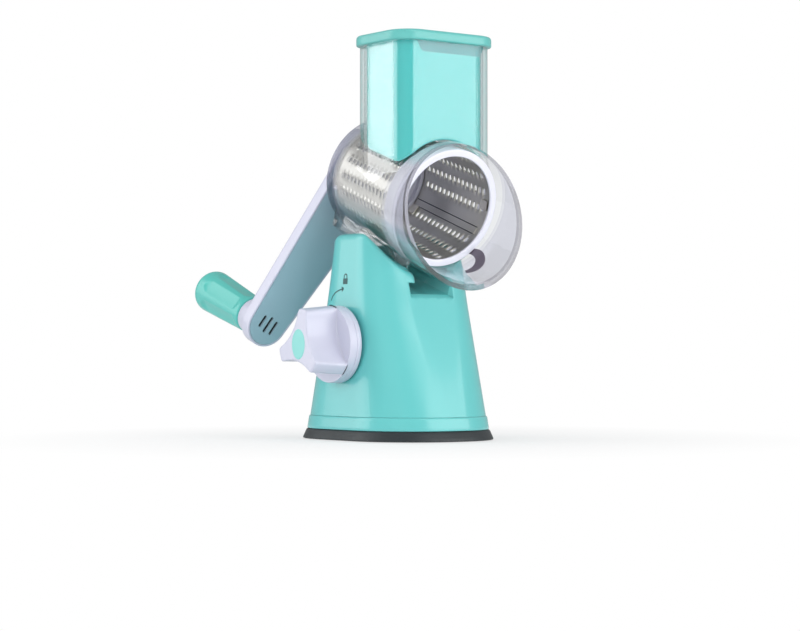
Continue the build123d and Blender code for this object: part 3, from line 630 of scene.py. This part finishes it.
# The knob at each x: radius times (-sin, cos) of the angle, from the scooped lobes to the round disc.
def knobSurface():
    angle = np.linspace(0, 2 * np.pi, 360, endpoint=False)
    front = softened(knobReach(angle, knobSet["lobe"]), 9)
    back = softened(knobReach(angle, knobSet["lobeBack"]), 9)
    face, end, edge, foot = knobSet["face"], knobSet["scoopEnd"], knobSet["edge"], knobSet["foot"]
    rows = []

    def ring(radius, x):
        rows.append(np.stack([np.broadcast_to(x, angle.shape), -radius * np.sin(angle),
                              radius * np.cos(angle)], -1))

    for share in np.linspace(0, 1, 14):
        ring((front - edge) * share, face)
    for turn in np.radians([18, 36, 54, 72, 90]):
        ring(front - edge + edge * math.sin(turn), face + edge * (1 - math.cos(turn)))
    for share in np.linspace(0, 1, 14)[1:]:
        ring(front + (back - front) * share, face + edge + (end - foot - face - edge) * share)
    whole = np.full_like(angle, knobSet["lobeBack"] - 0.05)
    for turn in np.radians([30, 60, 90]):
        ring(back + np.minimum(foot * (1 - math.cos(turn)), whole - back), end - foot + foot * math.sin(turn))
    for share in (0.35, 0.7, 0.97):
        ring(back + foot + (whole - back - foot) * share, end)
    ring(whole, end + 0.5)
    ring(whole + 0.2, knobSet["discFront"] - 0.3)
    disc = knobSet["disc"]
    for amount, x in ((0.35, 0.0), (0.12, 0.1), (0.0, 0.4), (0.0, 2.8), (0.25, 3.2)):
        ring(np.full_like(angle, disc - amount), knobSet["discFront"] + x)
    ring(np.full_like(angle, knobSet["neck"]), knobSet["discBack"])
    ring(np.full_like(angle, 0.0), knobSet["discBack"])
    grid = np.stack(rows)
    grid[..., 2] += knobSet["height"]
    return grid


addPiece("knob", [(knobSurface(), "c")], "knob", lilac, ("lock_knob",), sharp=40)


# An oval plate with a softly rounded edge.
def knobCapSurface():
    angle = np.linspace(0, 2 * np.pi, 96, endpoint=False)
    rows = []
    for share, out in ((0.0, 0.8), (0.5, 0.8), (0.85, 0.77), (0.93, 0.68), (0.98, 0.45), (1.0, 0.2),
                       (1.0, -1.2), (0.0, -1.2)):
        rows.append(np.stack([np.full_like(angle, knobSet["face"] + knobSet["capSunk"] - out),
                              -knobSet["capWide"] * share * np.sin(angle),
                              knobSet["height"] + knobSet["capHigh"] * share * np.cos(angle)], -1))
    return np.stack(rows)


addPiece("knobFaceCap", [(knobCapSurface(), "c")], "knob", mintOval, ("knob_cap",), sharp=40)

print("clear housing")
clearHousing = fromSolid("clearHousing", "clear_housing", "base", clear)
rimSet = {"centre": 70.0, "lean": 25.3, "deep": 2.0, "back": -24.0, "flare": 54.0, "beside": 40.0}


# The housing's faces are cut along three planes, so that the flare and the rims end on clean lines.
def paintRimShade(piece):
    mesh = piece.data
    mesh.materials.append(clearFlare)
    mesh.materials.append(clearRimShade)
    lean = math.radians(rimSet["lean"])
    across = towardsMouth * math.cos(lean) + upAcross * math.sin(lean)
    middle = np.array([0.0, 0.0, axisSet["height"]])
    centre = middle + towardsMouth * rimSet["centre"]
    planes = ((centre - across * rimSet["deep"], across),
              (middle + towardsMouth * rimSet["flare"], towardsMouth),
              (middle + towardsMouth * rimSet["back"], towardsMouth))
    build = bmesh.new()
    build.from_mesh(mesh)
    for point, square in planes:
        whole = build.verts[:] + build.edges[:] + build.faces[:]
        bmesh.ops.bisect_plane(build, geom=whole, dist=1e-7, plane_co=(point * 0.001).tolist(),
                               plane_no=square.tolist())
    build.to_mesh(mesh)
    build.free()
    places = np.empty(len(mesh.polygons) * 3)
    mesh.polygons.foreach_get("center", places)
    places = places.reshape(-1, 3) * 1000.0 - middle
    up, along = places @ upAcross, places @ towardsMouth
    index = np.where(along > rimSet["flare"], 1, 0)  # 0 clear, 1 flare, 2 rim
    # The rims at the mouth and low at the back take the painted shade, a dark grey outline.
    index[places @ across > rimSet["centre"] * math.cos(lean) - rimSet["deep"]] = 2
    index[(along < rimSet["back"]) & (up < rimSet["beside"])] = 2
    mesh.polygons.foreach_set("material_index", index.astype(np.int32))


paintRimShade(clearHousing)

drumSet = {
    "back": -20.0, "front": 50.4, "frontRadius": 34.4, "taper": 0.045, "sheet": 0.5,
    "meanRadius": 33.0, "sunk": 0.05,
    "rows": 20, "seam": -21.5, "holes": 14, "pitch": 4.15, "first": -11.0,
    "long": 3.4, "wide": 1.7, "lift": 0.95, "slit": (0.7, 1.9, 1.15),
    "strip": (-30.5, -21.5), "stripLong": (-13.5, 45.5), "stripDeep": (0.55, 1.2),
    "lapWide": (0.7, 1.0), "lapDeep": (0.6, 1.25),
    "ringBack": 38.2, "ringFace": 52.7, "ringWall": 1.3, "ringGap": 0.05, "lip": 31.5, "lipDeep": 1.8,
}
print("drum")


def shellRadius(z):
    return drumSet["frontRadius"] - (drumSet["front"] - z) * drumSet["taper"]


# Points on the sheet from u round it and v along it, both from a tooth's middle: the drum's cone,
# raised by lift times a smooth oval hill that leans to one side.
def sheetPoints(turn, length, u, v, tooth):
    spread = (u / drumSet["long"]) ** 2 + (v / drumSet["wide"]) ** 2
    hill = np.clip(1 - spread, 0, 1) ** 0.6 * np.clip(0.8 + 0.2 * u / drumSet["long"], 0, 1)
    radius = shellRadius(length + v) + drumSet["lift"] * hill * tooth - drumSet["sunk"]
    angle = turn + u / drumSet["meanRadius"]
    flat = np.broadcast_arrays(radius * np.cos(angle), radius * np.sin(angle), length + v)
    return onAxis(np.stack(flat, -1))


# A cell round each tooth: rings that go from the oval slit out to the cell's straight edges.
def toothCells():
    halfU, halfV = drumSet["meanRadius"] * np.pi / drumSet["rows"], drumSet["pitch"] / 2
    acrossSteps, alongSteps = 8, 4
    one = np.linspace(-1, 1, acrossSteps + 1)[:-1]
    two = np.linspace(-1, 1, alongSteps + 1)[:-1]
    edge = np.concatenate([
        np.stack([one, -np.ones(acrossSteps)], 1), np.stack([np.ones(alongSteps), two], 1),
        np.stack([-one, np.ones(acrossSteps)], 1), np.stack([-np.ones(alongSteps), -two], 1)])
    centre, long, wide = drumSet["slit"]
    around = np.arctan2(edge[:, 1], edge[:, 0])
    slit = np.stack([centre + long * np.cos(around), wide * np.sin(around)], 1)
    share = np.array([0.0, 0.14, 0.32, 0.55, 0.78, 1.0])[:, None, None]
    flat = slit[None] * (1 - share) + edge[None] * (halfU, halfV) * share
    patches = []
    for row in range(1, drumSet["rows"]):
        turn = math.radians(drumSet["seam"]) + 2 * math.pi * row / drumSet["rows"]
        for hole in range(drumSet["holes"]):
            length = drumSet["first"] + hole * drumSet["pitch"]
            patches.append((sheetPoints(turn, length, flat[..., 0], flat[..., 1], 1.0), "c"))
    seam = math.radians(drumSet["seam"])  # its column and the two ends are plain
    start, end = drumSet["first"] - halfV, drumSet["first"] + (drumSet["holes"] - 0.5) * drumSet["pitch"]
    plainSeam = np.linspace(start, end, drumSet["holes"] * alongSteps + 1)
    seamTurn = np.linspace(-halfU, halfU, acrossSteps + 1)
    patches.append((sheetPoints(seam, plainSeam[None], seamTurn[:, None], 0.0, 0.0), ""))
    allRound = np.linspace(0, 2 * halfU * drumSet["rows"], drumSet["rows"] * acrossSteps + 1) - halfU
    for low, high in ((drumSet["back"], start), (end, drumSet["front"])):
        length = np.linspace(low, high, 4)
        patches.append((sheetPoints(seam, length[None], allRound[:, None], 0.0, 0.0), ""))
    return patches


drumSheet = addPiece("drumSheet", toothCells(), "drum", drumSteel, ("drum_shell",), sharp=60)
wall = drumSheet.modifiers.new("sheet", "SOLIDIFY")
wall.thickness = drumSet["sheet"] * 0.001
wall.offset = -1.0


# A thin curved strip on the drum's inside, between two angles and two depths under the sheet.
def strip(first, last, depths):
    turn = np.radians(np.linspace(first, last, 9))
    length = np.linspace(*drumSet["stripLong"], 12)
    sides = []
    for depth in depths:
        radius = shellRadius(length)[None] - depth
        sides.append(np.stack([radius * np.cos(turn)[:, None], radius * np.sin(turn)[:, None],
                               np.broadcast_to(length[None], (len(turn), len(length)))], -1))
    outer, inner = sides
    loop = [np.concatenate([outer[:, i], inner[::-1, i]]) for i in range(len(length))]
    ends = [np.broadcast_to(loop[i].mean(0), loop[i].shape) for i in (0, -1)]
    return onAxis(np.stack([ends[0], *loop, ends[1]]))


seamLow, seamHigh = drumSet["strip"]
lapLow, lapHigh = drumSet["lapWide"]
addPiece("drumSeam", [(strip(seamLow, seamHigh, drumSet["stripDeep"]), "c")], "drum", drumSteel)
# Along each edge of the seam strip a thin dark strip: painted shade for the crevice there.
addPiece("drumLapShadeLines", [(strip(seamLow, seamLow + lapLow, drumSet["lapDeep"]), "c"),
                          (strip(seamHigh - lapHigh, seamHigh, drumSet["lapDeep"]), "c")],
         "drum", lapShadeSteel)


# The ring in (radius, z): it follows the cone, with a lip turned in over the sheet's front edge.
def ringProfile():
    back, face = drumSet["ringBack"], drumSet["ringFace"]
    wall, inside, lipBack = drumSet["ringWall"], drumSet["ringGap"], drumSet["ringFace"] - drumSet["lipDeep"]
    return roundedCorner([
        (shellRadius(back) + inside, back), (shellRadius(back) + wall, back),
        (shellRadius(face) + wall, face), (drumSet["lip"], face), (drumSet["lip"], lipBack),
        (shellRadius(face) + inside, lipBack), (shellRadius(back) + inside, back + 0.001)],
        [0.3, 0.7, 0.6, 0.4, 0.0])


addPiece("drumFrontRing", [(spun(ringProfile(), 128), "c")], "drum", ringWhite,
         ("drum_front_ring",), sharp=50)


# The rear cap in (radius, z): a disc, a rim inside the sheet and a tapered hub, with the corners' arcs.
rearCapSet = {
    "profile": [(0.0, -21.6), (31.7, -21.6), (31.7, -20.05), (30.53, -20.05), (30.53, -15.0),
                (28.13, -15.0), (27.53, -17.5), (12.0, -17.5), (11.4, -4.0), (0.0, -4.0)],
    "arcs": [0.3, 0.2, 0.0, 0.4, 0.4, 0.8, 1.5, 1.2],
}
rearCap = spun(roundedCorner(rearCapSet["profile"], rearCapSet["arcs"]))
addPiece("drumRearCap", [(rearCap, "c")], "drum", lilac, ("drum_rear_cap",), sharp=50)

crankSet = {
    "length": 113.5, "lean": 28.0, "hub": 21.2, "end": 14.2, "front": -30.5, "thick": 9.0,
    "coverInset": 1.3, "coverDeep": 1.4, "hollow": 0.4, "collar": 11.8, "collarLong": 9.5, "round": 1.6,
    "gripNear": 11.3, "gripFar": 13.4, "gripLong": 47.0, "dome": 9.25, "gap": 0.35,
    "flutes": 6, "fluteWide": 4.6, "fluteDeep": 1.15, "fluteTurn": 30,
    "fluteStart": (4.0, 2.6), "fluteEnd": (4.5, 4.2),
    "hubBoss": 13.0, "hubFront": -26.95, "hubSunk": 3.0, "bossOut": 2.0, "bossEdge": 0.6, "bossSunk": 0.3,
    "collarRadii": (11.0, 11.8), "collarStart": 2.1, "inset": 3.0,
}
crankBack = crankSet["front"] - crankSet["thick"]
crankLean = math.radians(crankSet["lean"])
armEnd = np.array([-crankSet["length"] * math.sin(crankLean), -crankSet["length"] * math.cos(crankLean)])
print("crank")


# The line round a hub circle, an end circle and their tangents, drawn in by amount.
def armRing(amount, z, count=48):
    hub, end, length = crankSet["hub"], crankSet["end"], crankSet["length"]
    slope = math.asin((hub - end) / length)
    halfTurn = np.linspace(math.pi / 2 - slope, 3 * math.pi / 2 + slope, count)
    endTurn = np.linspace(-(math.pi / 2 - slope), math.pi / 2 - slope, count)
    share = np.linspace(0, 1, 26)[1:-1]
    hubLine = np.stack([np.cos(halfTurn), np.sin(halfTurn)], 1)
    endLine = np.stack([np.cos(endTurn), np.sin(endTurn)], 1)
    spine = np.concatenate([np.zeros(count), share, np.ones(count), 1 - share]) * length
    side = np.concatenate([hubLine, np.repeat(hubLine[-1:], len(share), 0), endLine,
                           np.repeat(endLine[-1:], len(share), 0)])
    radius = hub + (end - hub) * spine / length - amount
    flat = np.stack([spine + radius * side[:, 0], radius * side[:, 1]], 1)
    along = armEnd / np.linalg.norm(armEnd)
    turned = flat[:, :1] * along + flat[:, 1:] * np.array([-along[1], along[0]])
    return np.concatenate([turned, np.full((len(turned), 1), z)], 1)


# The same line drawn in to nothing, for closing the flat sides.
def armSpine(z, count=48):
    share = np.linspace(0, 1, 26)[1:-1]
    spine = np.concatenate([np.zeros(count), share, np.ones(count), 1 - share])[:, None]
    return np.concatenate([spine * armEnd, np.full((len(spine), 1), z)], 1)


# The arm: from its spine out over the back, round the edge, up the side and into the cover's bed.
def armSurface():
    front, round_ = crankSet["front"], crankSet["round"]
    floor = front - crankSet["coverDeep"] - crankSet["hollow"]
    rows = [armSpine(crankBack)]
    for share in np.linspace(0, 1, 6)[1:]:
        rows.append(armSpine(crankBack) * (1 - share) + armRing(round_, crankBack) * share)
    for turn in np.radians([15, 30, 45, 60, 75, 90]):
        rows.append(armRing(round_ * (1 - math.sin(turn)), crankBack + round_ * (1 - math.cos(turn))))
    for z in np.linspace(crankBack + round_, front - 0.5, 5)[1:]:
        rows.append(armRing(0.0, z))
    for amount, drop in ((0.07, 0.25), (0.25, 0.07), (0.5, 0.0), (crankSet["coverInset"] - 0.15, 0.0)):
        rows.append(armRing(amount, front - drop))
    rows.append(armRing(crankSet["coverInset"], front - 0.15))
    rows.append(armRing(crankSet["coverInset"], floor))
    rows.append(armSpine(floor))
    return onAxis(np.stack(rows))


# A near-black plate inside the arm, behind the cover's slots: painted shade for the dark hollow seen through
# them.
def armPaintedShade():
    low = crankSet["front"] - crankSet["coverDeep"] - crankSet["hollow"] + 0.05
    high = low + crankSet["hollow"] - 0.15
    amount = crankSet["inset"]
    rows = [armSpine(low), armRing(amount, low), armRing(amount, high), armSpine(high)]
    return onAxis(np.stack(rows))


addPiece("crankArmPaintedShade", [(armPaintedShade(), "c")], "crank", paintedSlotShade)

hub, hubFront, bossBack = crankSet["hubBoss"], crankSet["hubFront"], crankBack - crankSet["bossOut"]
hubBoss = spun(roundedCorner([
    (hub, crankSet["front"] - crankSet["hubSunk"]), (hub, hubFront), (0.0, hubFront)], [0.6]), 64)
armBoss = spun(roundedCorner([
    (0.0, bossBack), (crankSet["collar"], bossBack),
    (crankSet["collar"] + crankSet["bossEdge"], crankBack + crankSet["bossSunk"])], [0.4]), 64, at=armEnd)
addPiece("crankArmBody", [(armSurface(), "c"), (hubBoss, "c"), (armBoss, "c")], "crank", lilac,
         ("crank_arm",), sharp=38)

collarBack, collarFront = crankBack - crankSet["collarLong"], crankBack - crankSet["collarStart"]
collarFar, collarNear = crankSet["collarRadii"]
addPiece("gripCollarBody", [(spun(roundedCorner([
    (0.0, collarBack), (collarFar, collarBack), (collarNear, collarFront), (0.0, collarFront)],
    [0.9, 0.3]), 72, at=armEnd), "c")], "crank", lilac, ("grip_collar",), sharp=50)


# A taper with shallow flutes: the radius less depth times 1 - (across / width)^2, where depth and
# width grow from nothing at each flute's ends.
def gripSurface():
    near, far, long = crankSet["gripNear"], crankSet["gripFar"], crankSet["gripLong"]
    start = collarBack - crankSet["gap"]
    turn = np.linspace(0, 2 * np.pi, 192, endpoint=False)
    z = np.concatenate([[0.0, 0.02, 0.3, 0.9], np.linspace(1.6, long, 60)])
    radius = near + (far - near) * z / long
    radius = radius - np.array([6.0, 0.9, 0.35, 0.08] + [0.0] * 60)
    half = crankSet["fluteWide"] / radius
    cell = 2 * np.pi / crankSet["flutes"]
    off = (turn[None] + cell / 2 - math.radians(crankSet["fluteTurn"])) % cell - cell / 2
    (begin, grow), (stop, fade) = crankSet["fluteStart"], crankSet["fluteEnd"]
    along = np.clip((z - begin) / grow, 0, 1) * np.clip((long - stop - z) / fade, 0, 1)
    along = np.sqrt(np.clip(along, 0, 1))
    width = half[:, None] * np.maximum(along[:, None], 0.02)
    share = np.clip(1 - (off / width) ** 2, 0, 1)
    depth = crankSet["fluteDeep"] * share * np.minimum(along, 1)[:, None]
    reach = radius[:, None] - depth
    flat = np.stack([armEnd[0] + reach * np.cos(turn), armEnd[1] + reach * np.sin(turn),
                     np.broadcast_to((start - z)[:, None], reach.shape)], -1)
    return onAxis(flat)


addPiece("gripBody", [(gripSurface(), "c")], "grip", mintGrip, ("grip",), sharp=60)


# The grip's end in (radius, z): a quarter ellipse, far wide and dome deep, behind a narrow groove.
def gripEndProfile():
    far, dome = crankSet["gripFar"], crankSet["dome"]
    seam = collarBack - crankSet["gap"] - crankSet["gripLong"]
    turn = np.linspace(0, np.pi / 2, 20)
    points = [(far * math.sin(t), seam - 0.25 - (dome - 0.25) * math.cos(t)) for t in turn]
    return points + [(far - 0.12, seam - 0.02), (far - 1.5, seam - 0.02), (0.0, seam - 0.02)]


addPiece("gripEndCap", [(spun(gripEndProfile(), 96, at=armEnd), "c")], "grip", mintGrip,
         ("grip_cap",), sharp=45)

pusherSet = {
    "half": (31.0, 22.75, 11.0), "centre": (0.0, -26.8), "overDrum": 38.1, "top": 233.85,
    "rim": (37.0, 28.5, 16.0), "rimLow": 233.95, "rimHigh": 239.95, "edge": 1.2,
}
print("pusher")


# Height of the curved lower end, a cylinder over the drum, at (x, y).
def pusherBottom(x, y):
    above = np.sqrt(np.maximum(pusherSet["overDrum"] ** 2 - x ** 2, 1.0))
    return (above + y * math.sin(tilt)) / math.cos(tilt) + axisSet["height"]


# The plunger: its curved lower end from the middle out, a quarter round, then straight up.
def pusherSurface():
    half, centre, edge = pusherSet["half"], pusherSet["centre"], pusherSet["edge"]
    ring = rounded(half, 0.0, centre)
    low = pusherBottom(ring[:, 0], ring[:, 1])
    rows = []
    inner = rounded(inset(half, edge), 0.0, centre)
    for share in np.linspace(0, 1, 14):
        flat = inner * share + np.array([*centre, 0.0]) * (1 - share)
        flat[:, 2] = pusherBottom(flat[:, 0], flat[:, 1])
        rows.append(flat)
    for turn in np.radians([20, 45, 70, 90]):
        flat = rounded(inset(half, edge * (1 - math.sin(turn))), 0.0, centre)
        flat[:, 2] = low + edge * (1 - math.cos(turn))
        rows.append(flat)
    for share in np.linspace(0, 1, 24)[1:]:
        flat = ring.copy()
        flat[:, 2] = low + edge + (pusherSet["top"] - low - edge) * share
        rows.append(flat)
    top = rows[-1]
    rows.extend(closing(top, (*centre, pusherSet["top"])))
    return np.stack(rows)


addPiece("pusherBody", [(pusherSurface(), "c")], "pusher", mintPale, ("pusher_body",), sharp=40)


# The lid: rounded rectangles drawn in a little at the lower edge and more at the upper, closed flat.
def lidSurface():
    half, centre = pusherSet["rim"], pusherSet["centre"]
    low, high = pusherSet["rimLow"], pusherSet["rimHigh"]
    levels = [(half, 0.9, low), (half, 0.35, low + 0.15), (half, 0.08, low + 0.45), (half, 0.0, low + 0.9),
              (half, 0.0, high - 1.9), (half, 0.1, high - 1.2), (half, 0.45, high - 0.55),
              (half, 1.0, high - 0.15), (half, 1.7, high)]
    rings = stack(levels, centre)
    under = closing(rings[0], (*centre, low))[::-1]
    over = closing(rings[-1], (*centre, high))
    return np.concatenate([under, rings, over])


addPiece("pusherLid", [(lidSurface(), "c")], "pusher", mintLid, ("pusher_cap",), sharp=40)

# CAD nodes that stay as they are get their finish.
keptLooks = (
    (innerPlastic, ("base_plate", "lift_rod", "lift_cam", "knob_bush")), (rubber, ("pad_boss",)),
    (steel, ("base_screws", "pad_stud", "cam_shaft", "shaft_clip", "knob_screw", "hub_screw",
             "grip_spindle", "spindle_nut")),
    (lilac, ("rear_bush", "crank_shaft")), (lugGrey, ("guard_lug",)), (tabSteel, ("drum_tabs",)),
    (blueGrey, ("crank_cover",)),
)
for look, kept in keptLooks:
    for node in kept:
        nodes[node].data.materials.clear()
        nodes[node].data.materials.append(look)

# The floor and the world are white where the camera sees them, darker for mirrors and for light.
# Sizes here and at the lamps are in metres.
stageSet = {
    "floor": "F4F5F6", "floorShade": "F0F1F3", "size": 4.0, "under": 0.0004, "near": 0.07, "far": 0.26,
    "lift": 0.6, "seen": 1.0, "mirrored": 0.42, "light": 0.42,
}
print("stage")


# How bright the surroundings are for a kind of ray: light, then mirrored, then seen.
def surroundings(graph):
    plain = (graph.rays("Is Camera Ray") + graph.rays("Is Transmission Ray")).clamped()
    mirrored = graph.rays("Is Glossy Ray")
    return (stageSet["light"] + plain * (stageSet["seen"] - stageSet["light"])
            + mirrored * (1.0 - plain) * (stageSet["mirrored"] - stageSet["light"])), plain


def floorPiece():
    mesh = bpy.data.meshes.new("floor")
    half, low = stageSet["size"], -stageSet["under"]
    mesh.from_pydata([(-half, -half, low), (half, -half, low), (half, half, low), (-half, half, low)],
                     [], [(0, 1, 2, 3)])
    made = bpy.data.objects.new("floor", mesh)
    bpy.context.scene.collection.objects.link(made)
    paint = Finish("floor paint", Roughness=0.6)
    cloud = paint.noise(60.0)
    paint.feed("Base Color", paint.mix(cloud, rgb(stageSet["floor"]), rgb(stageSet["floorShade"])))
    # past a little way from the object the floor shows the white background instead
    reach = paint.node("ShaderNodeVectorMath", {"operation": "LENGTH"}, output=1, i0=paint.place())
    share = ((reach - stageSet["near"]) * (1.0 / (stageSet["far"] - stageSet["near"]))).clamped()
    strength, plain = surroundings(paint)
    white = paint.node("ShaderNodeEmission", Color=(1, 1, 1, 1), Strength=strength)
    paint.surface(plain * (stageSet["lift"] + (1.0 - stageSet["lift"]) * share), white)
    mesh.materials.append(paint.material)


floorPiece()
world = bpy.data.worlds.new("studio")
bpy.context.scene.world = world
world.use_nodes = True
sky = Graph(world.node_tree)
sky.tree.links.new(surroundings(sky)[0].out, sky.tree.nodes["Background"].inputs["Strength"])
sky.tree.nodes["Background"].inputs["Color"].default_value = (1, 1, 1, 1)

# A lamp stands at an angle from the mouth's side towards +x, at a distance and a height, and faces
# a point above the middle of the foot. Gloss says whether it is seen in shiny surfaces.
lampSet = {
    "behindLeft": dict(angle=-128.0, far=1.15, up=0.45, size=(0.75, 1.1), power=5.5, gloss=True),
    "frontRight": dict(angle=22.0, far=1.2, up=0.3, size=(1.5, 0.7), power=8.5, gloss=True),
    "highFront": dict(angle=0.0, far=1.15, up=0.95, size=(0.9, 0.45), power=2.6, gloss=True),
    "frontLeft": dict(angle=-62.0, far=1.2, up=0.32, size=(0.8, 0.8), power=5.5, gloss=False),
    "over": dict(angle=200.0, far=0.15, up=1.3, size=(0.9, 0.9), power=3.0, gloss=False),
}
lampAim = 0.12
for name, lamp in lampSet.items():
    data = bpy.data.lights.new(name, "AREA")
    data.shape = "RECTANGLE"
    data.size, data.size_y = lamp["size"]
    data.energy = lamp["power"]
    made = bpy.data.objects.new(name, data)
    bpy.context.scene.collection.objects.link(made)
    turn = math.radians(lamp["angle"])
    made.location = (lamp["far"] * math.sin(turn), -lamp["far"] * math.cos(turn), lamp["up"])
    made.rotation_mode = "QUATERNION"
    made.rotation_quaternion = (Vector((0, 0, lampAim)) - made.location).to_track_quat("-Z", "Y")
    made.visible_glossy = lamp["gloss"]
print("lamps:", len(lampSet))

bpy.context.scene.view_settings.view_transform = "Standard"
